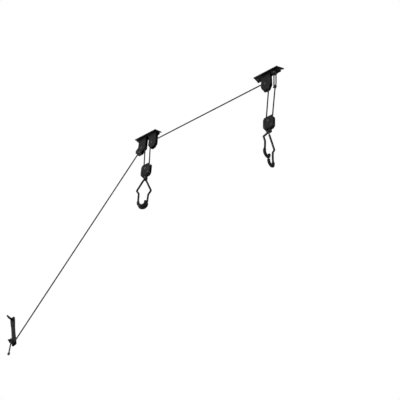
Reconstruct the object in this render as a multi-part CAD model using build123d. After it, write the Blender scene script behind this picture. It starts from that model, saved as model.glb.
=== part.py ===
from build123d import *
import math
import os

# A two-bracket rope hoist that hangs from a ceiling. +Z is up and the ceiling is the plane Z = 0.
# The origin is at the middle of the front (lock) bracket's top face and +X runs to the rear bracket.
# The wall with the cleat is on the +Y side.

# Overall layout
bracket_spacing = 700.0
front_block_drop = 230.0
rear_block_drop = 318.0
front_block_lean = 9.0
rear_block_lean = -15.0
sheave_drop = 70.0
cleat_middle_x = -724.0
cleat_middle_z = -857.0
cleat_tilt = 17.0

# Rope and sheaves
rope_radius = 3.0
pitch_radius = 16.0
sheave_radius = 19.0
sheave_width = 12.0
groove_clearance = 0.3
axle_radius = 3.0
running_clearance = 0.05
sheave_side_gap = 0.6
sheave_recess = 1.2
sheave_hub_radius = 6.5
sheave_rim = 5.0

# Ceiling brackets
plate_length = 127.0
plate_width = 36.0
plate_thickness = 2.5
flange_depth = 8.0
tongue_reach = 26.0
tongue_fall = 21.0
tongue_width = 24.0
tongue_tip_width = 6.0
tongue_root = 6.0
tongue_tip_run = 1.6
tongue_tip_drop = 1.9
plate_corner = 3.6
plate_edge_round = 2.0

# Yokes
cheek_thickness = 2.0
web_thickness = 2.0
rivet_head_radius = 5.5
rivet_head_height = 2.2
head_round = 0.6
small_rivet_radius = 2.0
small_head_radius = 3.6
small_head_height = 1.4
cheek_corner = 6.0
yoke_half_width = 20.0
yoke_bulge = 22.5
yoke_bulge_drop = 12.0
yoke_tip_left = (-14.0, 8.0)
yoke_tip_middle = -2.0
yoke_tip_right = (12.0, 4.0)
front_yoke_depth = 104.0
rear_yoke_depth = 113.0
rear_yoke_extra = 6.0

# Lock
lock_half_width = 22.0
lock_shoulder_drop = 62.0
lock_side_margin = 8.5
lock_bottom_margin = 2.0
lock_right_drop = 80.0
guide_radius = 7.5
guide_drop = 78.0
guide_end_gap = 0.1
cam_along = 9.5
cam_gap = 0.3
cam_offset = 4.0
cam_angle = 156.0
cam_radius = 7.6
cam_thickness = 11.0
cam_tooth_radius = 0.8
cam_tooth_rise = 0.2
cam_tooth_count = 8
cam_tooth_start = 105.0
cam_tooth_span = 90.0
cam_pin_radius = 2.5
cam_pin_head = 4.5

# Anchor clevis
anchor_drop = 20.0
anchor_pin_radius = 2.5
anchor_ear_width = 20.0
anchor_ear_depth = 28.0
anchor_half_gap = 5.0
anchor_ear_corner = 4.0
anchor_pin_head = 4.2
knot_radius = 9.0
knot_height = 16.0
knot_drop = 121.0

# Screw holes for 5 mm lag screws
screw_hole_radius = 2.75
front_hole_x = (-56.0, 10.0)
rear_hole_left_x = -52.0

# Hook blocks, measured from the block's sheave centre
block_half_top = 20.0
block_half_middle = 26.0
block_half_bottom = 19.0
block_top = 27.0
block_shoulder = 15.0
block_waist = -32.0
block_bottom = -45.0
block_corner = 3.0
spacer_x = 20.0
spacer_drop = 30.0
spacer_radius = 3.5

# Swivel and hook pin
swivel_radius = 4.0
swivel_head_radius = 6.5
swivel_head_height = 2.5
swivel_gap = 0.3
clevis_thickness = 2.2
clevis_half_gap = 7.7
clevis_width = 16.0
pivot_drop = 60.0
hook_pin_radius = 3.0

# Hooks, measured from the hook pin: across, up, along the pin
hook_rod_radius = 3.0
eye_radius = 6.1
eye_shift = 3.6
j_shift = 8.6
hook_kink = (37.0, -76.0)
hook_waist = (26.0, -97.0)
hook_shank = (26.0, -131.0)
j_radius = 17.0
j_bottom = -175.0
j_tip_rise = 22.0
coating_radius = 4.5
coating_start = 15.0
skin_gap = 0.02
sleeve_radius = 6.5
sleeve_start = -150.0
sleeve_cap = 4.0
front_swivel_turn = 24.0
rear_swivel_turn = 90.0
front_hook_open = -3.0
rear_hook_open = 7.0
hook_pin_head = (4.6, 1.8)

# Rope lay
tail_bend = guide_radius + rope_radius

# Cleat on the wall
cleat_length = 180.0
cleat_width = 25.0
cleat_waist = 20.0
cleat_shoulder = 30.0
cleat_waist_half = 20.0
cleat_corner = 6.0
cleat_thickness = 6.0
cleat_face_y = 14.0
horn_radius = 5.0
horn_tip_radius = 3.8
horn_tip_tilt = 0.3
horn_spacing = 150.0
horn_straight = 20.0
horn_reach = 34.0
horn_flare = 5.0
horn_root = 1.0
cleat_hole_spacing = 80.0
belay_corners = 23
belay_gap = 0.35
belay_first_y = 10.0
belay_pitch = 6.3
belay_lead = 30.0
belay_end_turns = 3
belay_arc_share = 0.95
free_end_length = 70.0
end_knot_radius = 7.0
end_knot_height = 12.0

# Positions along X that follow from the rope's path
front_block_x = 10.0
rear_block_x = bracket_spacing + 26.0
front_sheave_x = front_block_x + 2 * pitch_radius
lock_sheave_x = front_block_x - 2 * pitch_radius
rear_sheave_x = rear_block_x - 2 * pitch_radius
anchor_x = rear_block_x + pitch_radius
rear_gap_x = (rear_sheave_x + yoke_half_width + rear_yoke_extra + anchor_x - anchor_ear_width / 2) / 2
rear_hole_x = (rear_hole_left_x, rear_gap_x - bracket_spacing)
front_hang_x = front_block_x + front_block_lean
rear_hang_x = rear_block_x + rear_block_lean

half_gap = sheave_width / 2 + sheave_side_gap
yoke_half = half_gap + cheek_thickness
yoke_top = -plate_thickness
cheek_top = yoke_top - web_thickness

os.makedirs("parts", exist_ok=True)
nodes = {}


def keep(name, shape):
    """Store a finished piece under its node name."""
    shape.label = name
    nodes[name] = shape


def rod_y(x, z, radius, y_low, y_high):
    """A round rod along Y between two Y values."""
    middle = (y_low + y_high) / 2
    return Pos(x, middle, z) * Rot(90, 0, 0) * Cylinder(radius, y_high - y_low)


def rod_z(x, y, radius, z_low, z_high):
    """A round rod along Z between two heights."""
    return Pos(x, y, (z_low + z_high) / 2) * Cylinder(radius, z_high - z_low)


def plate_y(points, thickness, y_low, corner=0.0):
    """A flat plate with an outline in X and Z, from y_low towards +Y."""
    outline = make_face(Polyline(*points, close=True))
    if corner:
        outline = fillet(outline.vertices(), corner)
    solid = extrude(Plane.XZ * outline, amount=-thickness)
    return Pos(0, y_low, 0) * solid


def box(x_low, x_high, y_low, y_high, z_low, z_high):
    """A block between two corners."""
    size = (x_high - x_low, y_high - y_low, z_high - z_low)
    middle = ((x_low + x_high) / 2, (y_low + y_high) / 2, (z_low + z_high) / 2)
    return Pos(*middle) * Box(*size)


def tube(points, radii, radius=rope_radius, start=None):
    """A round bar along straight runs joined by arcs."""
    path = FilletPolyline(*points, radius=radii)
    profile = Plane(origin=path @ 0, z_dir=path % 0) * Circle(radius)
    return sweep(profile, path=path), path


def rivet_head(x, z, radius, y_face, height, side):
    """A low rounded head that stands off a face at y_face, towards +Y or -Y."""
    y_far = y_face + side * height
    head = rod_y(x, z, radius, min(y_face, y_far), max(y_face, y_far))
    rims = head.edges().filter_by(GeomType.CIRCLE).sort_by(Axis.Y)
    return fillet(rims[-1] if side > 0 else rims[0], height * head_round)


def through_rivet(x, z, radius, half_width, head_radius=rivet_head_radius, head=rivet_head_height):
    """A rivet along Y with a low head against each outer face."""
    shank = rod_y(x, z, radius, -half_width - head / 2, half_width + head / 2)
    shank += rivet_head(x, z, head_radius, -half_width, head, -1)
    shank += rivet_head(x, z, head_radius, half_width, head, 1)
    return shank


# ---------------------------------------------------------------- sheaves
def sheave(x, z):
    """A grooved pulley wheel with a thin web and a plain bore."""
    groove_radius = rope_radius + groove_clearance
    half = sheave_width / 2
    wheel = Cylinder(sheave_radius, sheave_width)
    wheel -= Torus(pitch_radius, groove_radius)
    mouth = [
        (pitch_radius, -groove_radius),
        (sheave_radius + 1, -half + 1.2),
        (sheave_radius + 1, half - 1.2),
        (pitch_radius, groove_radius),
    ]
    wheel -= revolve(Plane.XZ * make_face(Polyline(*mouth, close=True)), axis=Axis.Z)
    recess_outer = pitch_radius - groove_radius - 1.8
    for side in (-1, 1):
        ring = Cylinder(recess_outer, sheave_recess) - Cylinder(sheave_hub_radius, sheave_recess)
        wheel -= Pos(0, 0, side * (half - sheave_recess / 2)) * ring
    wheel -= Cylinder(axle_radius + running_clearance, sheave_width + 2)
    return Pos(x, 0, z) * Rot(90, 0, 0) * wheel


# ---------------------------------------------------------------- ceiling plates
def ceiling_plate(centre_x, hole_x, rivet_points):
    """The stamped channel with down-turned long edges and a bent-down pointed tongue."""
    half_length = plate_length / 2
    half_width = plate_width / 2
    body = box(-half_length, half_length, -half_width, half_width, -flange_depth, 0)
    hollow = half_width - plate_thickness
    body -= box(-half_length - 1, half_length + 1, -hollow, hollow, -flange_depth - 1, -plate_thickness)
    upright = body.edges().filter_by(Axis.Y).group_by(Axis.Z)[0]
    body = fillet(upright, plate_corner)
    long_edges = [e for e in body.edges().filter_by(Axis.X) if e.center().Z > -0.1]
    body = fillet(long_edges, plate_edge_round)
    tongue_side = [
        (half_length - tongue_root, 0),
        (half_length + 1, 0),
        (half_length + tongue_reach, -tongue_fall),
        (half_length + tongue_reach - tongue_tip_run, -tongue_fall - tongue_tip_drop),
        (half_length, -plate_thickness),
        (half_length - tongue_root, -plate_thickness),
    ]
    tongue = plate_y(tongue_side, tongue_width, -tongue_width / 2)
    plan = Polyline(
        (half_length - tongue_root, -tongue_width / 2),
        (half_length, -tongue_width / 2),
        (half_length + tongue_reach, -tongue_tip_width / 2),
        (half_length + tongue_reach, tongue_tip_width / 2),
        (half_length, tongue_width / 2),
        (half_length - tongue_root, tongue_width / 2),
        close=True,
    )
    tongue = tongue & (Pos(0, 0, -tongue_fall - 5) * extrude(make_face(plan), amount=tongue_fall + 10))
    body += tongue
    for x in hole_x:
        body -= rod_z(x, 0, screw_hole_radius, -plate_thickness - 1, 1)
    for x, y in rivet_points:
        body -= rod_z(x, y, small_rivet_radius + running_clearance, -plate_thickness - 1, 1)
        body -= rod_z(x, y, small_head_radius + running_clearance, -small_head_height, 1)
    return Pos(centre_x, 0, 0) * body


def web_rivets(points):
    """Flush rivets that hold yoke webs to a plate, as one group of solids."""
    group = []
    for x, y in points:
        rivet = rod_z(x, y, small_rivet_radius, cheek_top - small_head_height, 0)
        rivet += rod_z(x, y, small_head_radius, -small_head_height + running_clearance, 0)
        rivet += rod_z(x, y, small_head_radius, cheek_top - small_head_height, cheek_top)
        group.append(rivet)
    return group


# ---------------------------------------------------------------- yokes
def yoke(outline, web_low_x, web_high_x, holes, rivets):
    """Two cheeks that hang from a riveted top web, folded from one strip."""
    cheek = plate_y(outline, cheek_thickness, 0, 0)
    lower = [e for e in cheek.edges().filter_by(Axis.Y) if e.center().Z < cheek_top - 20]
    cheek = fillet(lower, cheek_corner)
    body = Pos(0, -yoke_half, 0) * cheek + Pos(0, half_gap, 0) * cheek
    body += box(web_low_x, web_high_x, -yoke_half, yoke_half, cheek_top, yoke_top)
    for x, z, radius in holes:
        body -= rod_y(x, z, radius + running_clearance, -yoke_half - 1, yoke_half + 1)
    for x, y in rivets:
        body -= rod_z(x, y, small_rivet_radius + running_clearance, cheek_top - 1, yoke_top + 1)
    return body


def pulley_yoke_outline(x, low, extra):
    """A tall cheek that narrows to a blunt point below the wheel, wider by extra on its right."""
    return [
        (x - yoke_half_width, yoke_top),
        (x - yoke_bulge, -sheave_drop - yoke_bulge_drop),
        (x + yoke_tip_left[0], low + yoke_tip_left[1]),
        (x + yoke_tip_middle + extra, low),
        (x + yoke_tip_right[0] + extra, low + yoke_tip_right[1]),
        (x + yoke_bulge + extra, -sheave_drop - yoke_bulge_drop),
        (x + yoke_half_width + extra, yoke_top),
    ]


front_rivets = [(front_sheave_x - 13, 0), (front_sheave_x + 13, 0), (lock_sheave_x - 12, 0), (lock_sheave_x + 12, 0)]
rear_rivets = [(rear_sheave_x - 14, 0), (rear_sheave_x + 14, 0), (anchor_x, 0)]

keep("front_plate", ceiling_plate(0, front_hole_x, front_rivets))
rear_rivets_local = [(x - bracket_spacing, y) for x, y in rear_rivets]
keep("rear_plate", ceiling_plate(bracket_spacing, rear_hole_x, rear_rivets_local))

for name, x, low, extra, rivets in (
    ("front", front_sheave_x, -front_yoke_depth, 0.0, front_rivets[:2]),
    ("rear", rear_sheave_x, -rear_yoke_depth, rear_yoke_extra, rear_rivets[:2]),
):
    outline = pulley_yoke_outline(x, low, extra)
    holes = [(x, -sheave_drop, axle_radius)]
    keep(f"{name}_pulley_yoke", yoke(outline, x - yoke_half_width, x + yoke_half_width + extra, holes, rivets))
    keep(f"{name}_sheave", sheave(x, -sheave_drop))
    keep(f"{name}_sheave_axle", through_rivet(x, -sheave_drop, axle_radius, yoke_half))

# The tail leaves the lock wheel straight down, bends round the guide and runs to the cleat's lower horn
tilt = math.radians(cleat_tilt)
horn_x = cleat_middle_x + horn_spacing / 2 * math.sin(tilt)
horn_z = cleat_middle_z - horn_spacing / 2 * math.cos(tilt)
belay_radius = horn_radius + rope_radius + belay_gap
lock_left = lock_sheave_x - pitch_radius
guide_x = lock_left - tail_bend
gap_x = horn_x - guide_x
gap_z = horn_z + guide_drop
lean = math.atan2(-gap_x, -gap_z) + math.asin((tail_bend - belay_radius) / math.hypot(gap_x, gap_z))
bend_z = -guide_drop - tail_bend * math.tan(lean / 2)

# The cam stands beside the rope just below the guide, and turns on a pin away from its own centre
cam_stand = cam_radius + rope_radius + cam_gap
cam_centre_x = lock_left - cam_along * math.sin(lean) + cam_stand * math.cos(lean)
cam_centre_z = bend_z - cam_along * math.cos(lean) - cam_stand * math.sin(lean)
cam_pivot_x = cam_centre_x - cam_offset * math.cos(math.radians(cam_angle))
cam_pivot_z = cam_centre_z - cam_offset * math.sin(math.radians(cam_angle))
print("cam pivot", round(cam_pivot_x, 2), round(cam_pivot_z, 2), "lower horn", round(horn_x, 2), round(horn_z, 2))

lock_low = cam_centre_z - cam_radius - lock_bottom_margin
lock_left_side = guide_x - lock_side_margin
lock_outline = [
    (lock_sheave_x - lock_half_width, yoke_top),
    (lock_sheave_x - lock_half_width, -lock_shoulder_drop),
    (lock_left_side, -guide_drop + guide_radius / 2),
    (lock_left_side, cam_centre_z + lock_bottom_margin),
    (cam_centre_x - lock_side_margin, lock_low),
    (cam_pivot_x + lock_side_margin, lock_low),
    (lock_sheave_x + lock_half_width, -lock_right_drop),
    (lock_sheave_x + lock_half_width, yoke_top),
]
lock_holes = [
    (lock_sheave_x, -sheave_drop, axle_radius),
    (cam_pivot_x, cam_pivot_z, cam_pin_radius),
    (guide_x, -guide_drop, small_rivet_radius),
]
lock_web = (lock_sheave_x - lock_half_width, lock_sheave_x + lock_half_width)
keep("lock_yoke", yoke(lock_outline, lock_web[0], lock_web[1], lock_holes, front_rivets[2:]))
keep("lock_sheave", sheave(lock_sheave_x, -sheave_drop))
keep("lock_sheave_axle", through_rivet(lock_sheave_x, -sheave_drop, axle_radius, yoke_half))
keep("lock_cam_pin", through_rivet(cam_pivot_x, cam_pivot_z, cam_pin_radius, yoke_half, cam_pin_head))

guide = through_rivet(guide_x, -guide_drop, small_rivet_radius, yoke_half, cam_pin_head)
guide += rod_y(guide_x, -guide_drop, guide_radius, -half_gap + guide_end_gap, half_gap - guide_end_gap)
keep("lock_guide", guide)

# The cam is an off-centre disc with teeth that face the rope
cam = rod_y(cam_centre_x, cam_centre_z, cam_radius, -cam_thickness / 2, cam_thickness / 2)
for i in range(cam_tooth_count):
    angle = math.radians(cam_tooth_start + i * cam_tooth_span / (cam_tooth_count - 1))
    tooth_x = cam_centre_x + (cam_radius + cam_tooth_rise) * math.cos(angle)
    tooth_z = cam_centre_z + (cam_radius + cam_tooth_rise) * math.sin(angle)
    cam -= rod_y(tooth_x, tooth_z, cam_tooth_radius, -cam_thickness, cam_thickness)
cam -= rod_y(cam_pivot_x, cam_pivot_z, cam_pin_radius + running_clearance, -cam_thickness, cam_thickness)
keep("lock_cam", cam)

keep("yoke_rivets", Compound(children=web_rivets(front_rivets + rear_rivets)))

# The anchor clevis holds a pin that the rope's dead end loops over
ear_half = anchor_ear_width / 2
anchor_outer = anchor_half_gap + cheek_thickness
clevis = box(anchor_x - ear_half, anchor_x + ear_half, -anchor_outer, anchor_outer, cheek_top, yoke_top)
ear = [
    (anchor_x - ear_half, yoke_top),
    (anchor_x - ear_half, -anchor_ear_depth + anchor_ear_corner),
    (anchor_x - ear_half + anchor_ear_corner, -anchor_ear_depth),
    (anchor_x + ear_half - anchor_ear_corner, -anchor_ear_depth),
    (anchor_x + ear_half, -anchor_ear_depth + anchor_ear_corner),
    (anchor_x + ear_half, yoke_top),
]
clevis += plate_y(ear, cheek_thickness, -anchor_outer)
clevis += plate_y(ear, cheek_thickness, anchor_half_gap)
clevis -= rod_y(anchor_x, -anchor_drop, anchor_pin_radius + running_clearance, -anchor_outer - 1, anchor_outer + 1)
clevis -= rod_z(anchor_x, 0, small_rivet_radius + running_clearance, cheek_top - 1, yoke_top + 1)
keep("rear_anchor_clevis", clevis)
keep("rear_anchor_pin", through_rivet(anchor_x, -anchor_drop, anchor_pin_radius, anchor_outer, anchor_pin_head))


# ---------------------------------------------------------------- hook blocks
def block_yoke(x, z):
    """Two six-sided cheeks joined by a bottom web that carries the swivel."""
    outline = [
        (x - block_half_top, z + block_top),
        (x + block_half_top, z + block_top),
        (x + block_half_middle, z + block_shoulder),
        (x + block_half_middle, z + block_waist),
        (x + block_half_bottom, z + block_bottom),
        (x - block_half_bottom, z + block_bottom),
        (x - block_half_middle, z + block_waist),
        (x - block_half_middle, z + block_shoulder),
    ]
    cheek = plate_y(outline, cheek_thickness, 0, block_corner)
    body = Pos(0, -yoke_half, 0) * cheek + Pos(0, half_gap, 0) * cheek
    low = z + block_bottom
    body += box(x - block_half_bottom, x + block_half_bottom, -yoke_half, yoke_half, low, low + clevis_thickness)
    body -= rod_y(x, z, axle_radius + running_clearance, -yoke_half - 1, yoke_half + 1)
    for side in (-1, 1):
        hole = small_rivet_radius + running_clearance
        body -= rod_y(x + side * spacer_x, z - spacer_drop, hole, -yoke_half - 1, yoke_half + 1)
    body -= rod_z(x, 0, swivel_radius + running_clearance, low - 1, low + clevis_thickness + 1)
    return body


def spacers(x, z):
    """Two shouldered rivets that keep the cheeks apart."""
    group = []
    for side in (-1, 1):
        place = x + side * spacer_x
        bar = through_rivet(place, z - spacer_drop, small_rivet_radius, yoke_half, small_head_radius, small_head_height)
        bar += rod_y(place, z - spacer_drop, spacer_radius, -half_gap, half_gap)
        group.append(bar)
    return Compound(children=group)


def swivel_rivet(x, z):
    """The headed stud that the clevis turns on."""
    web_top = z + block_bottom + clevis_thickness
    clevis_low = z + block_bottom - swivel_gap - clevis_thickness
    stud = rod_z(x, 0, swivel_radius, clevis_low - 1.2, web_top + 1)
    head = rod_z(x, 0, swivel_head_radius, web_top + swivel_gap, web_top + swivel_gap + swivel_head_height)
    foot = rod_z(x, 0, swivel_radius + 1.2, clevis_low - 1.6, clevis_low)
    return stud + head + foot


def about(x, turn, shape):
    """Turn a shape about a block's vertical line."""
    return Pos(x, 0, 0) * Rot(0, 0, turn) * Pos(-x, 0, 0) * shape


def swivel_clevis(x, z):
    """An inverted U under the block that carries the hook pin along Y before it is turned."""
    top = z + block_bottom - swivel_gap
    outer = clevis_half_gap + clevis_thickness
    half = clevis_width / 2
    body = box(x - half, x + half, -outer, outer, top - clevis_thickness, top)
    pin_z = z - pivot_drop
    for side in (-1, 1):
        low_y = side * clevis_half_gap if side > 0 else -outer
        leg = box(x - half, x + half, low_y, low_y + clevis_thickness, pin_z, top)
        leg += rod_y(x, pin_z, half, low_y, low_y + clevis_thickness)
        body += leg
    body -= rod_y(x, pin_z, hook_pin_radius + running_clearance, -outer - 1, outer + 1)
    body -= rod_z(x, 0, swivel_radius + running_clearance, top - clevis_thickness - 1, top + 1)
    return body


def hook_points(side, tip):
    """The hook's centre line as across, along-pin and up values, for one side."""
    reach = math.hypot(*hook_kink)
    lead = (hook_kink[0] / reach * eye_radius, hook_kink[1] / reach * eye_radius)
    flat = [
        (lead[0], eye_shift, lead[1]),
        (hook_kink[0], eye_shift, hook_kink[1]),
        (hook_waist[0], (eye_shift + j_shift) / 2, hook_waist[1]),
        (hook_shank[0], j_shift, hook_shank[1]),
        (hook_shank[0], j_shift, j_bottom),
        (hook_shank[0] - 2 * j_radius, j_shift, j_bottom),
        (hook_shank[0] - 2 * j_radius, j_shift, tip),
    ]
    return [(side * a, side * b, c) for a, b, c in flat]


hook_radii = [6.0, 14.0, 20.0, j_radius - 0.01, j_radius - 0.01]


def hook(side):
    """A hook's rod with its eye, its vinyl coating and its J sleeve, about the pin's centre."""
    tip = j_bottom + j_tip_rise
    points = hook_points(side, tip)
    rod, path = tube(points, hook_radii, hook_rod_radius)
    eye = Pos(0, side * eye_shift, 0) * Rot(90, 0, 0) * Torus(eye_radius, hook_rod_radius)
    bore = rod_y(0, 0, hook_pin_radius + running_clearance, -clevis_half_gap, clevis_half_gap)
    rod = rod + eye - bore
    reach = math.hypot(*hook_kink)
    start = tuple(side * v for v in (hook_kink[0] / reach * coating_start, eye_shift))
    start = (start[0], start[1], hook_kink[1] / reach * coating_start)
    shank = points[3]
    arm_points = [start, points[1], points[2], shank, (shank[0], shank[1], sleeve_start)]
    outer, _ = tube(arm_points, hook_radii[:3], coating_radius)
    inner, _ = tube(arm_points, hook_radii[:3], hook_rod_radius + skin_gap)
    j_points = [(shank[0], shank[1], sleeve_start), points[4], points[5], points[6]]
    sleeve_outer, _ = tube(j_points, hook_radii[3:], sleeve_radius)
    sleeve_outer += rod_z(points[6][0], points[6][1], sleeve_radius, tip, tip + sleeve_cap)
    cap_edges = sleeve_outer.edges().filter_by(GeomType.CIRCLE).group_by(Axis.Z)[-1]
    cap_top = [e for e in cap_edges if abs(e.center().Z - tip - sleeve_cap) < 0.01]
    if cap_top:
        sleeve_outer = fillet(cap_top, sleeve_cap * 0.8)
    sleeve_inner, _ = tube(j_points, hook_radii[3:], hook_rod_radius + skin_gap)
    return rod, outer - inner, sleeve_outer - sleeve_inner


for name, x, drop, turn, spread in (
    ("front", front_hang_x, front_block_drop, front_swivel_turn, front_hook_open),
    ("rear", rear_hang_x, rear_block_drop, rear_swivel_turn, rear_hook_open),
):
    keep(f"{name}_block_yoke", block_yoke(x, -drop))
    keep(f"{name}_block_sheave", sheave(x, -drop))
    keep(f"{name}_block_axle", through_rivet(x, -drop, axle_radius, yoke_half))
    keep(f"{name}_block_spacers", spacers(x, -drop))
    keep(f"{name}_swivel_rivet", swivel_rivet(x, -drop))
    keep(f"{name}_swivel_clevis", about(x, turn, swivel_clevis(x, -drop)))
    pin_outer = clevis_half_gap + clevis_thickness
    pin = through_rivet(x, -drop - pivot_drop, hook_pin_radius, pin_outer, *hook_pin_head)
    keep(f"{name}_hook_pin", about(x, turn, pin))
    for letter, side in (("a", -1), ("b", 1)):
        opened = Rot(0, -side * spread, 0)
        placed = Pos(x, 0, -drop - pivot_drop) * Rot(0, 0, turn) * opened
        rod, coating, sleeve = hook(side)
        keep(f"{name}_hook_{letter}_rod", placed * rod)
        keep(f"{name}_hook_{letter}_coating", placed * coating)
        keep(f"{name}_hook_{letter}_sleeve", placed * sleeve)


# ---------------------------------------------------------------- cleat
def horn(z, up):
    """A round horn that stands off the wall plate, tapers and flares at its tip."""
    straight_y = cleat_face_y - horn_straight
    root = rod_y(0, z, horn_radius, straight_y, cleat_face_y + horn_root)
    tip_plane = Plane(origin=(0, cleat_face_y - horn_reach, z + up * horn_flare), z_dir=(0, -1, up * horn_tip_tilt))
    flare = [Plane(origin=(0, straight_y, z), z_dir=(0, -1, 0)) * Circle(horn_radius), tip_plane * Circle(horn_tip_radius)]
    return root + loft(flare)


half_cleat = cleat_length / 2
cleat_quarter = [
    (cleat_width / 2, half_cleat),
    (cleat_width / 2, half_cleat - cleat_shoulder),
    (cleat_waist / 2, cleat_waist_half),
]
cleat_right = cleat_quarter + [(x, -z) for x, z in reversed(cleat_quarter)]
cleat_outline = cleat_right + [(-x, z) for x, z in reversed(cleat_right)]
cleat = plate_y(cleat_outline, cleat_thickness, cleat_face_y, cleat_corner)
cleat += horn(horn_spacing / 2, 1)
cleat += horn(-horn_spacing / 2, -1)
for side in (-1, 1):
    z = side * cleat_hole_spacing / 2
    cleat -= rod_y(0, z, screw_hole_radius, cleat_face_y - 1, cleat_face_y + cleat_thickness + 1)
keep("cleat", Pos(cleat_middle_x, 0, cleat_middle_z) * Rot(0, -cleat_tilt, 0) * cleat)


# ---------------------------------------------------------------- rope
def keep_rope(name, points, radii):
    """A rope length, with its section times length compared with its volume."""
    solid, path = tube(points, radii)
    expected = math.pi * rope_radius**2 * path.length
    print(name, "length", round(path.length, 1), "radii", radii, "volume ratio", round(solid.volume / expected, 4))
    keep(name, solid)


def keep_fall(name, x_low, x_high, low, high):
    """A straight rope fall between two level end faces."""
    print(name, "length", round(math.hypot(high - low, x_high - x_low), 1))
    top_face = make_face(Pos(x_high, 0, high) * Edge.make_circle(rope_radius))
    keep(name, Solid.extrude(top_face.face(), Vector(x_low - x_high, 0, low - high)))


eighth = math.tan(math.radians(22.5))
arc_slack = 0.01
turn_step = pitch_radius * eighth
wheel_arc = pitch_radius - arc_slack
fall_top = -sheave_drop - 2.0
front_top = -front_block_drop
rear_top = -rear_block_drop
strand = anchor_pin_radius + rope_radius
loop_low = -knot_drop + knot_height

knot = rod_z(anchor_x, 0, knot_radius, -knot_drop, loop_low)
keep("rope_anchor_knot", fillet(knot.edges().filter_by(GeomType.CIRCLE), 1.2))
loop_z = -anchor_drop
loop_points = [
    (anchor_x - strand, 0, loop_low),
    (anchor_x - strand, 0, loop_z + strand * eighth),
    (anchor_x - strand * eighth, 0, loop_z + strand),
    (anchor_x + strand * eighth, 0, loop_z + strand),
    (anchor_x + strand, 0, loop_z + strand * eighth),
    (anchor_x + strand, 0, loop_low),
]
keep_rope("rope_anchor_loop", loop_points, [strand - arc_slack] * 4)
rear_inner = rear_block_x - pitch_radius
front_outer = front_block_x + pitch_radius
front_inner = front_block_x - pitch_radius
keep_fall("rope_rear_fall_outer", rear_hang_x + pitch_radius, anchor_x, rear_top, -knot_drop)
keep_fall("rope_rear_fall_inner", rear_hang_x - pitch_radius, rear_inner, rear_top, fall_top)
keep_fall("rope_front_fall_outer", front_hang_x + pitch_radius, front_outer, front_top, fall_top)
keep_fall("rope_front_fall_inner", front_hang_x - pitch_radius, front_inner, front_top, fall_top)

# Each bight is a half turn under a block's wheel, with a short straight start
for name, x, top in (("rear", rear_hang_x, rear_top), ("front", front_hang_x, front_top)):
    bight = [
        (x - pitch_radius, 0, top),
        (x - pitch_radius, 0, top - turn_step),
        (x - turn_step, 0, top - pitch_radius),
        (x + turn_step, 0, top - pitch_radius),
        (x + pitch_radius, 0, top - turn_step),
        (x + pitch_radius, 0, top),
    ]
    keep_rope(f"rope_{name}_bight", bight, [wheel_arc] * 4)

run_z = -sheave_drop + pitch_radius
run_points = [
    (rear_sheave_x + pitch_radius, 0, fall_top),
    (rear_sheave_x + pitch_radius, 0, -sheave_drop + turn_step),
    (rear_sheave_x + turn_step, 0, run_z),
    (front_sheave_x - turn_step, 0, run_z),
    (front_sheave_x - pitch_radius, 0, -sheave_drop + turn_step),
    (front_sheave_x - pitch_radius, 0, fall_top),
]
keep_rope("rope_ceiling_run", run_points, [wheel_arc] * 4)

# The tail goes over the lock wheel, bends round the guide and ends a short lead before the horn
belay_step = (2 * math.pi * belay_end_turns - lean) / belay_corners
corner_reach = belay_radius / math.cos(belay_step / 2)
belay_rise = belay_pitch * belay_step / (2 * math.pi)
belay_corner_points = []
for i in range(belay_corners):
    angle = -lean - belay_step * (i + 0.5)
    along = belay_first_y - i * belay_rise
    across, up = corner_reach * math.cos(angle), corner_reach * math.sin(angle)
    belay_corner_points.append((horn_x + across, along, horn_z + up))
tail_bend_point = Vector(lock_left, 0, bend_z)
belay_corner = Vector(*belay_corner_points[0])
tail_end = belay_corner + (tail_bend_point - belay_corner).normalized() * belay_lead
tail_points = [
    (lock_sheave_x + pitch_radius, 0, fall_top),
    (lock_sheave_x + pitch_radius, 0, -sheave_drop + turn_step),
    (lock_sheave_x + turn_step, 0, run_z),
    (lock_sheave_x - turn_step, 0, run_z),
    (lock_left, 0, -sheave_drop + turn_step),
    tuple(tail_bend_point),
    tuple(tail_end),
]
keep_rope("rope_tail", tail_points, [wheel_arc] * 4 + [tail_bend])

# The belay takes turns about the horn towards its tip, and its free end hangs straight down
last = belay_corner_points[-1]
free_end = (last[0], last[1], horn_z - free_end_length)
belay_points = [tuple(tail_end)] + belay_corner_points + [free_end]
belay_radii = [belay_radius * belay_arc_share] * belay_corners
keep_rope("rope_belay", belay_points, belay_radii)
end_x, end_y, end_z = belay_points[-1]
end_knot = rod_z(end_x, end_y, end_knot_radius, end_z - end_knot_height, end_z)
keep("rope_end_knot", fillet(end_knot.edges().filter_by(GeomType.CIRCLE), 1.2))

for name, shape in nodes.items():
    export_step(shape, f"parts/{name}.step")
print(len(nodes), "nodes")
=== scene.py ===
import bpy
import math
from mathutils import Matrix, Vector


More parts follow.
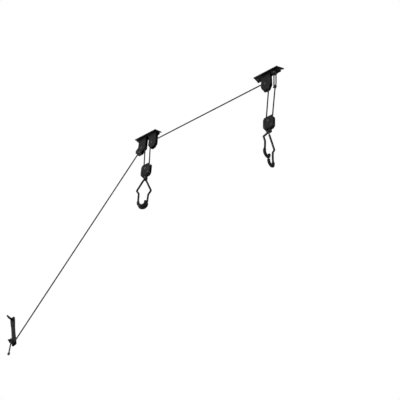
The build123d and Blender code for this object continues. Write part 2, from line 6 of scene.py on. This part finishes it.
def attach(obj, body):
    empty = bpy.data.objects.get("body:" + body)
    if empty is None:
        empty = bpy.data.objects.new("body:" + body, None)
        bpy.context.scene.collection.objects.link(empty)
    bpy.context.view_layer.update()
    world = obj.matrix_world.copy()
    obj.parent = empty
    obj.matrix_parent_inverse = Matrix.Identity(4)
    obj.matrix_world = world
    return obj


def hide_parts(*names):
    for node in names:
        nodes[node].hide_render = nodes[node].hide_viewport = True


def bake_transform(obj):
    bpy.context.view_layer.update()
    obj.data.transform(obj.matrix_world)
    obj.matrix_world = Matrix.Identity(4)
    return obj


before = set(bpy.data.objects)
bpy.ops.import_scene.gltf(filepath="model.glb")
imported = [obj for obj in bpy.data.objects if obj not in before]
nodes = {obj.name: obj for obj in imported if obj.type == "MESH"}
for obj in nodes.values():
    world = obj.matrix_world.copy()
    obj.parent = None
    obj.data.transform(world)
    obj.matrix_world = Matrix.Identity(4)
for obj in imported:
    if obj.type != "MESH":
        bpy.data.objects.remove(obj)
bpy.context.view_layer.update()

print("frame loaded:", len(nodes), "nodes")


# camera, standing low at the lock end and looking up at the hoist
camera = {
    "place": (2.388, -2.469, -3.443),  # metres
    "heading": 39.458,  # degrees from +Y towards -X
    "climb": 41.715,
    "roll": 3.721,
    "lens": 90.0,  # mm on a 36 mm sensor
}


def addCamera(settings):
    heading, climb = math.radians(settings["heading"]), math.radians(settings["climb"])
    roll = math.radians(settings["roll"])
    forward = Vector((-math.sin(heading) * math.cos(climb), math.cos(heading) * math.cos(climb), math.sin(climb)))
    right = Vector((math.cos(heading), math.sin(heading), 0))
    up = right.cross(forward)
    sideways = right * math.cos(roll) + up * math.sin(roll)
    upwards = up * math.cos(roll) - right * math.sin(roll)
    data = bpy.data.cameras.new("camera")
    data.sensor_width = 36
    data.lens = settings["lens"]
    data.clip_start, data.clip_end = 0.05, 60
    view = bpy.data.objects.new("camera", data)
    bpy.context.scene.collection.objects.link(view)
    turn = Matrix((sideways, upwards, -forward)).transposed()
    view.matrix_world = Matrix.Translation(settings["place"]) @ turn.to_4x4()
    bpy.context.scene.camera = view


addCamera(camera)
print("camera placed")


# node helpers shared by the materials
def newMaterial(name):
    material = bpy.data.materials.new(name)
    material.use_nodes = True
    tree = material.node_tree
    return material, tree, tree.nodes["Principled BSDF"]


def addNode(tree, kind, settings=(), values=()):
    node = tree.nodes.new(kind)
    for key, value in dict(settings).items():
        setattr(node, key, value)
    for key, value in dict(values).items():
        node.inputs[key].default_value = value
    return node


def noiseOn(tree, source, scale, detail=3.0, rough=0.55):
    noise = addNode(tree, "ShaderNodeTexNoise", values={"Scale": scale, "Detail": detail, "Roughness": rough})
    tree.links.new(source, noise.inputs["Vector"])
    return noise.outputs["Fac"]


def spread(tree, value, low, high, toLow=0.0, toHigh=1.0):
    ranged = addNode(tree, "ShaderNodeMapRange", values={
        "From Min": low, "From Max": high, "To Min": toLow, "To Max": toHigh})
    tree.links.new(value, ranged.inputs["Value"])
    return ranged.outputs["Result"]


def mathOn(tree, operation, a, b):
    node = addNode(tree, "ShaderNodeMath", {"operation": operation})
    for socket, value in zip(node.inputs, (a, b)):
        if isinstance(value, (int, float)):
            socket.default_value = value
        else:
            tree.links.new(value, socket)
    return node.outputs[0]


def mixColor(tree, factor, first, second):
    mix = addNode(tree, "ShaderNodeMix", {"data_type": "RGBA"})
    for socket, value in ((mix.inputs[0], factor), (mix.inputs[6], first), (mix.inputs[7], second)):
        if isinstance(value, (tuple, float)):
            socket.default_value = (*value, 1) if isinstance(value, tuple) else value
        else:
            tree.links.new(value, socket)
    return mix.outputs[2]


def bumpOn(tree, shader, height, strength, distance):
    bump = addNode(tree, "ShaderNodeBump", values={"Strength": strength, "Distance": distance})
    tree.links.new(height, bump.inputs["Height"])
    tree.links.new(bump.outputs["Normal"], shader.inputs["Normal"])


def edgeMask(tree, radius):
    # bright where the surface turns quickly, as on a corner that gets rubbed; the edge colour laid there is partly
    # wear and partly a painted highlight
    bevel = addNode(tree, "ShaderNodeBevel", {"samples": 4}, {"Radius": radius})
    geometry = addNode(tree, "ShaderNodeNewGeometry")
    dot = addNode(tree, "ShaderNodeVectorMath", {"operation": "DOT_PRODUCT"})
    tree.links.new(bevel.outputs["Normal"], dot.inputs[0])
    tree.links.new(geometry.outputs["Normal"], dot.inputs[1])
    return spread(tree, dot.outputs["Value"], 0.995, 0.86)


# finishes: colour, colour of the spots, colour of the edges (partly rubbed wear, partly a painted highlight), sheen
# and grain
finishes = {
    "blackPaint": dict(base=(0.0035, 0.0035, 0.0040), spot=(0.0130, 0.0130, 0.0140), edgeWearAndHighlight=(0.120, 0.120, 0.124),
                       metal=0.0, rough=(0.22, 0.44), grain=900.0, patch=38.0, bump=0.22, depth=0.00012, edge=0.0008,
                       edgeWearAndHighlightShare=0.75, shine=0.34),
    "blackZinc": dict(base=(0.105, 0.105, 0.112), spot=(0.190, 0.186, 0.180), edgeWearAndHighlight=(0.42, 0.41, 0.40), metal=0.85,
                      rough=(0.26, 0.44), grain=1400.0, patch=90.0, bump=0.12, depth=0.00005, edge=0.0004, edgeWearAndHighlightShare=0.7,
                      shine=0.5),
    "camSteel": dict(base=(0.17, 0.17, 0.18), spot=(0.09, 0.09, 0.09), edgeWearAndHighlight=(0.44, 0.44, 0.43), metal=1.0,
                     rough=(0.32, 0.50), grain=1700.0, patch=140.0, bump=0.20, depth=0.00006, edge=0.0004, edgeWearAndHighlightShare=0.8,
                     shine=0.5),
    "nylon": dict(base=(0.008, 0.008, 0.009), spot=(0.015, 0.015, 0.016), edgeWearAndHighlight=(0.05, 0.05, 0.05), metal=0.0,
                  rough=(0.40, 0.56), grain=700.0, patch=60.0, bump=0.10, depth=0.00006, edge=0.0005, edgeWearAndHighlightShare=0.4,
                  shine=0.4),
    "rodSteel": dict(base=(0.014, 0.014, 0.015), spot=(0.036, 0.034, 0.032), edgeWearAndHighlight=(0.22, 0.21, 0.20), metal=0.5,
                     rough=(0.28, 0.44), grain=1200.0, patch=110.0, bump=0.14, depth=0.00005, edge=0.0004, edgeWearAndHighlightShare=0.6,
                     shine=0.45),
    "vinyl": dict(base=(0.0065, 0.0065, 0.0070), spot=(0.0110, 0.0110, 0.0115), edgeWearAndHighlight=(0.035, 0.035, 0.035), metal=0.0,
                  rough=(0.24, 0.40), grain=420.0, patch=70.0, bump=0.16, depth=0.00018, edge=0.0008, edgeWearAndHighlightShare=0.3,
                  shine=0.42),
    "sleeveRubber": dict(base=(0.0060, 0.0060, 0.0060), spot=(0.0120, 0.0120, 0.0120), edgeWearAndHighlight=(0.032, 0.032, 0.032),
                         metal=0.0, rough=(0.58, 0.78), grain=1500.0, patch=130.0, bump=0.5, depth=0.00022, edge=0.001,
                         edgeWearAndHighlightShare=0.3, shine=0.30),
    "castPaint": dict(base=(0.0022, 0.0022, 0.0024), spot=(0.0060, 0.0060, 0.0062), edgeWearAndHighlight=(0.060, 0.060, 0.060),
                      metal=0.0, rough=(0.40, 0.60), grain=620.0, patch=50.0, bump=0.42, depth=0.00026, edge=0.0008,
                      edgeWearAndHighlightShare=0.45, shine=0.14),
}


def makeFinish(name, look):
    material, tree, shader = newMaterial(name)
    place = addNode(tree, "ShaderNodeTexCoord").outputs["Object"]
    patches = noiseOn(tree, place, look["patch"], 5.0, 0.6)
    grain = noiseOn(tree, place, look["grain"], 2.0)
    blotch = spread(tree, patches, 0.36, 0.68)
    # edges take a lighter colour in patches: partly rubbed wear, partly a painted edge highlight
    edgeWearAndHighlightMask = mathOn(tree, "MULTIPLY", edgeMask(tree, look["edge"]), spread(tree, patches, 0.42, 0.60, 0.0, look["edgeWearAndHighlightShare"]))
    skin = mixColor(tree, blotch, look["base"], look["spot"])
    tree.links.new(mixColor(tree, edgeWearAndHighlightMask, skin, look["edgeWearAndHighlight"]), shader.inputs["Base Color"])
    low, high = look["rough"]
    tree.links.new(spread(tree, patches, 0.3, 0.72, low, high), shader.inputs["Roughness"])
    shader.inputs["Metallic"].default_value = look["metal"]
    shader.inputs["Specular IOR Level"].default_value = look["shine"]
    bumpOn(tree, shader, grain, look["bump"], look["depth"])
    return material


finishMaterials = {name: makeFinish(name, look) for name, look in finishes.items()}

rope = {
    "diameter": 0.006,
    "sides": 24,  # points round the rope
    "step": 0.0009,  # ring spacing
    "strands": 4,  # carriers each way round the braid
    "lay": 0.0190,  # one turn of a carrier
    "relief": 0.00030,  # height of the weave
    "dark": (0.007, 0.007, 0.008),
    "light": (0.036, 0.036, 0.038),
}


def makeRopeMaterial(look):
    # U runs along the rope in metres and V once round it
    material, tree, shader = newMaterial("ropeBraid")
    place = addNode(tree, "ShaderNodeUVMap", {"uv_map": "lay"}).outputs["UV"]
    split = addNode(tree, "ShaderNodeSeparateXYZ")
    tree.links.new(place, split.inputs[0])
    along = mathOn(tree, "MULTIPLY", split.outputs[0], look["strands"] / look["lay"])
    around = mathOn(tree, "MULTIPLY", split.outputs[1], look["strands"])
    families = []
    for operation in ("ADD", "SUBTRACT"):
        phase = mathOn(tree, operation, along, around)
        families.append(mathOn(tree, "ABSOLUTE", mathOn(tree, "SINE", mathOn(tree, "MULTIPLY", phase, math.pi), 0), 0))
    weave = mathOn(tree, "MAXIMUM", *families)
    threads = addNode(tree, "ShaderNodeTexWave", {"bands_direction": "DIAGONAL"}, {"Scale": 1.0, "Distortion": 1.2})
    stretch = addNode(tree, "ShaderNodeMapping", values={"Scale": (2600.0, 26.0, 1.0)})
    tree.links.new(place, stretch.inputs["Vector"])
    tree.links.new(stretch.outputs["Vector"], threads.inputs["Vector"])
    solid = addNode(tree, "ShaderNodeTexCoord").outputs["Object"]
    soil = noiseOn(tree, solid, 55.0, 4.0)
    fibre = noiseOn(tree, solid, 2600.0, 2.0)
    # painted shade: the braid's grooves, where the weave is low, are darker and its crowns lighter; soil and fibre
    # noise vary the tone at random
    tone = mathOn(tree, "MULTIPLY", spread(tree, weave, 0.55, 1.0), spread(tree, soil, 0.3, 0.7, 0.55, 1.0))
    tone = mathOn(tree, "MULTIPLY", tone, spread(tree, fibre, 0.3, 0.7, 0.7, 1.1))
    tree.links.new(mixColor(tree, tone, look["dark"], look["light"]), shader.inputs["Base Color"])
    tree.links.new(spread(tree, fibre, 0.3, 0.7, 0.72, 0.92), shader.inputs["Roughness"])
    shader.inputs["Sheen Weight"].default_value = 0.15
    shader.inputs["Specular IOR Level"].default_value = 0.25
    height = mathOn(tree, "ADD", weave, mathOn(tree, "MULTIPLY", threads.outputs["Fac"], 0.35))
    bumpOn(tree, shader, height, 0.55, 0.0002)
    return material


ropeMaterial = makeRopeMaterial(rope)
print("materials made")


def readLine(name, points):
    # the rope's centre line as a smooth spline, read back as points
    curve = bpy.data.curves.new(name, "CURVE")
    curve.dimensions = "3D"
    curve.resolution_u = 24
    spline = curve.splines.new("NURBS")
    spline.points.add(len(points) - 1)
    for point, place in zip(spline.points, points):
        point.co = (*place, 1)
    spline.order_u = 3
    spline.use_endpoint_u = True
    holder = bpy.data.objects.new(name, curve)
    bpy.context.scene.collection.objects.link(holder)
    mesh = bpy.data.meshes.new_from_object(holder)
    line = [vertex.co.copy() for vertex in mesh.vertices]
    bpy.data.objects.remove(holder)
    bpy.data.curves.remove(curve)
    bpy.data.meshes.remove(mesh)
    return line


def evenSteps(line, step):
    # the same line with its points an even distance apart
    lengths = [0.0]
    for a, b in zip(line, line[1:]):
        lengths.append(lengths[-1] + (b - a).length)
    count = max(2, round(lengths[-1] / step))
    places, i = [], 0
    for k in range(count + 1):
        want = lengths[-1] * k / count
        while i < len(line) - 2 and lengths[i + 1] < want:
            i += 1
        share = (want - lengths[i]) / max(lengths[i + 1] - lengths[i], 1e-9)
        places.append(line[i].lerp(line[i + 1], min(share, 1.0)))
    return places, lengths[-1]


def braidTube(name, points, look):
    line, length = evenSteps(readLine(name, points), look["step"])
    radius = look["diameter"] / 2
    sides, strands = look["sides"], look["strands"]
    tangent = (line[1] - line[0]).normalized()
    side = tangent.orthogonal().normalized()
    verts = []
    for k, centre in enumerate(line):
        ahead = line[min(k + 1, len(line) - 1)] - line[max(k - 1, 0)]
        ahead.normalize()
        side = (side - ahead * side.dot(ahead)).normalized()
        other = ahead.cross(side)
        run = strands * length * k / (len(line) - 1) / look["lay"]
        for j in range(sides):
            angle = 2 * math.pi * j / sides
            turn = strands * j / sides
            weave = max(abs(math.sin(math.pi * (run + turn))), abs(math.sin(math.pi * (run - turn))))
            reach = radius + look["relief"] * (weave - 0.8)
            verts.append(centre + (side * math.cos(angle) + other * math.sin(angle)) * reach)
    faces, layout = [], []
    for k in range(len(line) - 1):
        u0 = length * k / (len(line) - 1)
        u1 = length * (k + 1) / (len(line) - 1)
        for j in range(sides):
            n = (j + 1) % sides
            faces.append((k * sides + j, k * sides + n, (k + 1) * sides + n, (k + 1) * sides + j))
            v0, v1 = j / sides, (j + 1) / sides
            layout += [u0, v0, u0, v1, u1, v1, u1, v0]
    last = (len(line) - 1) * sides
    faces.append(tuple(range(sides - 1, -1, -1)))
    faces.append(tuple(range(last, last + sides)))
    for edge in (0.0, length):
        for j in range(sides):
            layout += [edge, j / sides]
    mesh = bpy.data.meshes.new(name)
    mesh.from_pydata([tuple(v) for v in verts], [], faces)
    mesh.uv_layers.new(name="lay").data.foreach_set("uv", layout)
    mesh.polygons.foreach_set("use_smooth", [True] * len(faces))
    mesh.update()
    piece = bpy.data.objects.new(name, mesh)
    bpy.context.scene.collection.objects.link(piece)
    mesh.materials.append(ropeMaterial)
    return piece, line, length


# the rope's route from the front wheel along the ceiling, down round the rear block and up to the anchor pin
mainRoute = [
    (0.026, 0, -0.072), (0.026, 0, -0.06337), (0.03537, 0, -0.054), (0.065, 0, -0.054),
    (0.671, 0, -0.054), (0.70063, 0, -0.054), (0.710, 0, -0.06337), (0.710, 0, -0.072), (0.7083, 0, -0.100),
    (0.69683, 0, -0.288), (0.695, 0, -0.32463), (0.70437, 0, -0.334), (0.71763, 0, -0.334), (0.727, 0, -0.32463),
    (0.72928, 0, -0.288), (0.73972, 0, -0.151), (0.742, 0, -0.121), (0.7475, 0, -0.105), (0.7475, 0, -0.040),
    (0.7475, 0, -0.01772), (0.74428, 0, -0.0145), (0.73972, 0, -0.0145), (0.7365, 0, -0.01772), (0.7365, 0, -0.040),
    (0.7365, 0, -0.108),
]
frontRoute = [
    (0.026, 0, -0.072), (0.02759, 0, -0.100), (0.03329, 0, -0.200), (0.035, 0, -0.23663), (0.02563, 0, -0.246),
    (0.01237, 0, -0.246), (0.003, 0, -0.23663), (0.00129, 0, -0.200), (-0.00441, 0, -0.100), (-0.006, 0, -0.072),
]
tailRoute = [
    (-0.006, 0, -0.072), (-0.006, 0, -0.06337), (-0.01537, 0, -0.054), (-0.02863, 0, -0.054), (-0.038, 0, -0.06337),
    (-0.038, 0, -0.08158), (-0.04655, 0.00013, -0.09266), (-0.06549, 0.00042, -0.11721),
    (-0.66116, 0.00945, -0.88936), (-0.67927, 0.00972, -0.91283),
]
belay = {
    "x": -0.70207, "z": -0.92872,  # the lower horn's axis
    "firstY": 0.010, "rise": 0.000793,  # how far each corner steps towards the horn's tip
    "reach": 0.0090485, "firstAngle": -60.308, "step": 45.3196, "corners": 23,
    "lead": 0.026, "drop": 0.070,  # the free end's first point and its end, under the horn
    "knotDrop": 0.0055,  # from the free end to the middle of its knot
}

for i in range(belay["corners"]):
    angle = math.radians(belay["firstAngle"] - belay["step"] * i)
    tailRoute.append((belay["x"] + belay["reach"] * math.cos(angle), belay["firstY"] - belay["rise"] * i,
                      belay["z"] + belay["reach"] * math.sin(angle)))
endX, endY = tailRoute[-1][0], tailRoute[-1][1]
tailRoute += [(endX, endY, belay["z"] - belay["lead"]), (endX, endY, belay["z"] - belay["drop"])]

ropeMain, mainLine, mainLength = braidTube("ropeMain", mainRoute, rope)
ropeFront, frontLine, frontLength = braidTube("ropeFront", frontRoute, rope)
ropeTail, tailLine, tailLength = braidTube("ropeTail", tailRoute, rope)
print("rope lengths", round(mainLength, 3), round(frontLength, 3), round(tailLength, 3))

# knots: a closed three-lobed turn of the rope
anchorKnot = {"middle": (0.742, 0.0, -0.1135), "size": 0.0025, "depth": 1.25, "height": 1.05, "points": 20}
endKnot = {"middle": (endX, endY, belay["z"] - belay["drop"] - belay["knotDrop"]), "size": 0.00165, "depth": 1.3,
           "height": 1.0, "points": 20}


def knotRoute(knot):
    route = []
    for i in range(knot["points"] + 1):
        turn = 2 * math.pi * i / knot["points"]
        across = math.cos(turn) - 2 * math.cos(2 * turn)
        upward = math.sin(turn) + 2 * math.sin(2 * turn)
        outward = -math.sin(3 * turn) * knot["depth"]
        shift = Vector((across, outward, upward * knot["height"])) * knot["size"]
        route.append(tuple(Vector(knot["middle"]) + shift))
    return route


def addKnot(name, knot, node):
    piece = braidTube(name, knotRoute(knot), rope)[0]
    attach(piece, "bracket_set")
    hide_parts(node)
    return piece


anchorKnotPiece = addKnot("anchorKnot", anchorKnot, "rope_anchor_knot")
endKnotPiece = addKnot("endKnot", endKnot, "rope_end_knot")

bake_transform(ropeMain)
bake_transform(ropeFront)
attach(ropeTail, "bracket_set")
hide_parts("rope_ceiling_run", "rope_rear_fall_inner", "rope_rear_bight", "rope_rear_fall_outer",
            "rope_anchor_loop")
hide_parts("rope_front_fall_outer", "rope_front_bight", "rope_front_fall_inner")
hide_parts("rope_tail", "rope_belay")
print("rope laid")


# the screws that hold the plates to the ceiling and the cleat to the wall, cut flush behind
screws = {
    "headRadius": 0.0046, "headHeight": 0.0030, "flangeRadius": 0.0054, "flangeHeight": 0.0010,
    "shankRadius": 0.0025, "rim": 0.0005, "recessRadius": 0.0022, "recessDepth": 0.0012,
    "smoothAngle": 35,  # degrees
    "ceilingX": (-0.056, 0.010, 0.648, 0.726), "plateUnder": -0.0025,
    "cleatMiddle": (-0.724, 0.014, -0.857), "cleatTilt": 17.0, "cleatReach": 0.040, "cleatDepth": 0.006,
}


def selectFaces(mesh, wanted):
    # with the mesh open in edit mode, picks the faces that pass the test
    bpy.ops.mesh.select_all(action="DESELECT")
    bpy.ops.object.mode_set(mode="OBJECT")
    for face in mesh.polygons:
        face.select = wanted(face)
    bpy.ops.object.mode_set(mode="EDIT")


def addScrew(name, size, sides, hold):
    # head down along -Z, its seat at the origin, its shank as long as the hole it holds in
    bpy.ops.object.select_all(action="DESELECT")
    bpy.ops.mesh.primitive_cylinder_add(vertices=32, radius=size["flangeRadius"], depth=size["flangeHeight"],
                                        location=(0, 0, -size["flangeHeight"] / 2))
    flange = bpy.context.object
    flange.name = name
    headMiddle = -size["flangeHeight"] - size["headHeight"] / 2
    bpy.ops.mesh.primitive_cylinder_add(vertices=sides, radius=size["headRadius"], depth=size["headHeight"],
                                        location=(0, 0, headMiddle))
    head = bpy.context.object
    bpy.ops.object.mode_set(mode="EDIT")
    bpy.ops.mesh.select_mode(type="FACE")
    selectFaces(head.data, lambda face: face.normal.z < -0.9)
    bpy.ops.mesh.inset(thickness=size["headRadius"] - size["recessRadius"])
    bpy.ops.mesh.extrude_region_move(TRANSFORM_OT_translate={"value": (0, 0, size["recessDepth"])})
    bpy.ops.object.mode_set(mode="OBJECT")
    bpy.ops.mesh.primitive_cylinder_add(vertices=24, radius=size["shankRadius"], depth=hold,
                                        location=(0, 0, hold / 2))
    for part in (flange, head):
        part.select_set(True)
    bpy.context.view_layer.objects.active = flange
    bpy.ops.object.join()
    bpy.ops.object.transform_apply(location=True, rotation=True, scale=True)
    rounding = flange.modifiers.new("rims", "BEVEL")
    rounding.width, rounding.segments, rounding.limit_method = size["rim"], 2, "ANGLE"
    bpy.ops.object.modifier_apply(modifier="rims")
    return flange


def placeCopy(source, place, turn):
    copy = bpy.data.objects.new(source.name, source.data.copy())
    bpy.context.scene.collection.objects.link(copy)
    copy.data.transform(Matrix.Translation(place) @ turn)
    return copy


def joinScrews(name, pieces, finish):
    bpy.ops.object.select_all(action="DESELECT")
    for piece in pieces:
        piece.select_set(True)
    bpy.context.view_layer.objects.active = pieces[0]
    bpy.ops.object.join()
    joined = bpy.context.object
    joined.name = name
    bpy.ops.object.shade_smooth_by_angle(angle=math.radians(screws["smoothAngle"]))
    joined.data.materials.clear()
    joined.data.materials.append(finishMaterials[finish])
    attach(joined, "bracket_set")
    return joined


hexScrew = addScrew("hexScrew", screws, 6, -screws["plateUnder"])
roundScrew = addScrew("roundScrew", screws, 28, screws["cleatDepth"])
joinScrews("ceilingScrews", [placeCopy(hexScrew, (x, 0, screws["plateUnder"]), Matrix()) for x in screws["ceilingX"]],
           "blackZinc")
cleatTilt = math.radians(screws["cleatTilt"])
cleatScrewList = []
for side in (1, -1):
    middle, reach = screws["cleatMiddle"], side * screws["cleatReach"]
    place = (middle[0] - reach * math.sin(cleatTilt), middle[1], middle[2] + reach * math.cos(cleatTilt))
    cleatScrewList.append(placeCopy(roundScrew, place, Matrix.Rotation(math.radians(-90), 4, "X")))
joinScrews("cleatScrews", cleatScrewList, "blackPaint")
for pattern in (hexScrew, roundScrew):
    bpy.data.objects.remove(pattern)
print("screws placed")


# which finish each made piece has
finishOf = {
    "sleeve": "sleeveRubber", "coating": "vinyl", "rod": "rodSteel", "sheave": "nylon", "axle": "blackZinc",
    "rivet": "blackZinc", "rivets": "blackZinc", "pin": "blackZinc", "spacers": "blackZinc", "guide": "blackZinc",
    "cam": "camSteel", "cleat": "castPaint",
}
for name, node in nodes.items():
    finish = finishMaterials[finishOf.get(name.split("_")[-1], "blackPaint")]
    for materialSlot in node.material_slots:
        materialSlot.material = finish
print("finishes applied")

# studio: a pale floor far below, a soft key, a soft fill and a pale surround
studio = {
    "floorZ": -3.8, "floorSize": 24.0, "floorColour": (0.82, 0.82, 0.81, 1), "floorRough": 0.8,
    "surround": 0.34, "surroundColour": (0.95, 0.97, 1.0, 1),
    "aim": (0.3, 0, -0.3),
    "key": {"place": (-1.6, -2.6, -0.2), "size": 1.3, "power": 84},
    "fill": {"place": (2.6, -0.6, -2.6), "size": 2.2, "power": 16},
}


def addFloor(settings):
    bpy.ops.object.select_all(action="DESELECT")
    bpy.ops.mesh.primitive_plane_add(size=settings["floorSize"], location=(0, 0, settings["floorZ"]))
    floor = bpy.context.object
    floor.name = "floor"
    material, tree, shader = newMaterial("floorPaint")
    shader.inputs["Base Color"].default_value = settings["floorColour"]
    shader.inputs["Roughness"].default_value = settings["floorRough"]
    floor.data.materials.append(material)


def addSurround(settings):
    # soft light from all round, and plain white where the camera sees it
    world = bpy.data.worlds.new("surround")
    bpy.context.scene.world = world
    world.use_nodes = True
    tree = world.node_tree
    light = tree.nodes["Background"]
    light.inputs["Color"].default_value = settings["surroundColour"]
    light.inputs["Strength"].default_value = settings["surround"]
    seen = addNode(tree, "ShaderNodeBackground", values={"Color": (1, 1, 1, 1), "Strength": 1.0})
    rays = addNode(tree, "ShaderNodeLightPath")
    mix = addNode(tree, "ShaderNodeMixShader")
    tree.links.new(rays.outputs["Is Camera Ray"], mix.inputs[0])
    tree.links.new(light.outputs[0], mix.inputs[1])
    tree.links.new(seen.outputs[0], mix.inputs[2])
    tree.links.new(mix.outputs[0], tree.nodes["World Output"].inputs["Surface"])


def addLight(name, lamp, aim):
    data = bpy.data.lights.new(name, "AREA")
    data.size, data.energy = lamp["size"], lamp["power"]
    holder = bpy.data.objects.new(name, data)
    bpy.context.scene.collection.objects.link(holder)
    holder.location = lamp["place"]
    holder.rotation_euler = (Vector(aim) - Vector(lamp["place"])).to_track_quat("-Z", "Y").to_euler()


addFloor(studio)
addSurround(studio)
addLight("keyLight", studio["key"], studio["aim"])
addLight("fillLight", studio["fill"], studio["aim"])
bpy.context.scene.view_settings.view_transform = "Standard"
print("studio lit")
